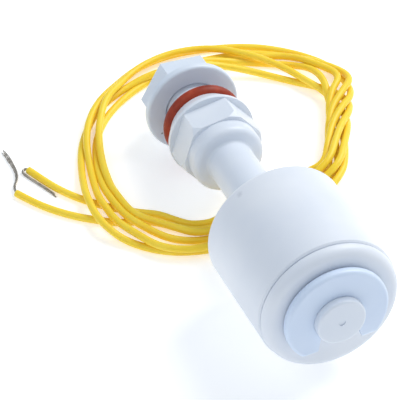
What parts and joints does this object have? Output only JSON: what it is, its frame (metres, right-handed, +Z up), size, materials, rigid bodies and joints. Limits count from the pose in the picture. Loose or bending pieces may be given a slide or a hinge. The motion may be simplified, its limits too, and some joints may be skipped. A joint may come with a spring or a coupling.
{
  "type": "float level switch",
  "caption": "Small vertical float level switch: a moulded stem with sliding float, clip, hexagon, seal ring and lock nut on a thread, and two loosely coiled wires.",
  "frame": {"origin": "on the floor below the middle of the stem, as the switch lies on its float and its nut, wires left out", "axes": "+Y along the stem in plan, from the float to the wires; +Z up; +X to the right seen from the float end"},
  "size_m": [0.0701, 0.0906, 0.0254],
  "materials": {
    "white_plastic": "semi-matte moulded white plastic with a cool cast",
    "seal_rubber": "soft red-brown rubber, slight sheen",
    "wire_insulation": "smooth glossy yellow insulation",
    "bare_strands": "tinned strands, dull grey metal",
    "lead_metal": "plated spring metal",
    "solder": "smooth solder",
    "sleeve_plastic": "dark thin sleeve",
    "resin": "cast dark resin",
    "magnet": "pressed ferrite, matte dark grey",
    "reed_glass": "clear tube with a faint green cast"
  },
  "bodies": {
    "stem": {"stem_body": "white_plastic", "retaining_clip": "white_plastic", "seal_ring": "seal_rubber", "reed_glass": "reed_glass", "reed_blade_lower": "lead_metal", "reed_blade_upper": "lead_metal", "return_lead": "lead_metal", "lead_sleeve": "sleeve_plastic", "solder_joint_a": "solder", "solder_joint_b": "solder", "potting_plug": "resin", "wire_a_inner": "wire_insulation", "wire_b_inner": "wire_insulation", "wire_a_exit": "wire_insulation", "wire_b_exit": "wire_insulation", "wire_coil": "wire_insulation", "wire_a_tail": "wire_insulation", "wire_b_tail": "wire_insulation", "bare_end_a": "bare_strands", "bare_end_b": "bare_strands"},
    "magnet_carrier": {"ring_magnet": "magnet"},
    "float": {"float_shell": "white_plastic", "float_cap": "white_plastic"},
    "nut": {"lock_nut": "white_plastic"}
  },
  "joints": [
    {"name": "float_slide", "type": "slide", "parent": "stem", "child": "magnet_carrier", "axis": [0, 0.9963, -0.0858], "range_m": [0, 0.0188]},
    {"name": "float_turn", "type": "hinge", "parent": "magnet_carrier", "child": "float", "pos_m": [0, -0.02134, 0.0129], "axis": [0, 0.9963, -0.0858], "continuous": true},
    {"name": "nut_slide", "type": "slide", "parent": "stem", "child": "nut", "axis": [0, 0.9963, -0.0858], "range_m": [-0.0032, 0.0027]}
  ]
}
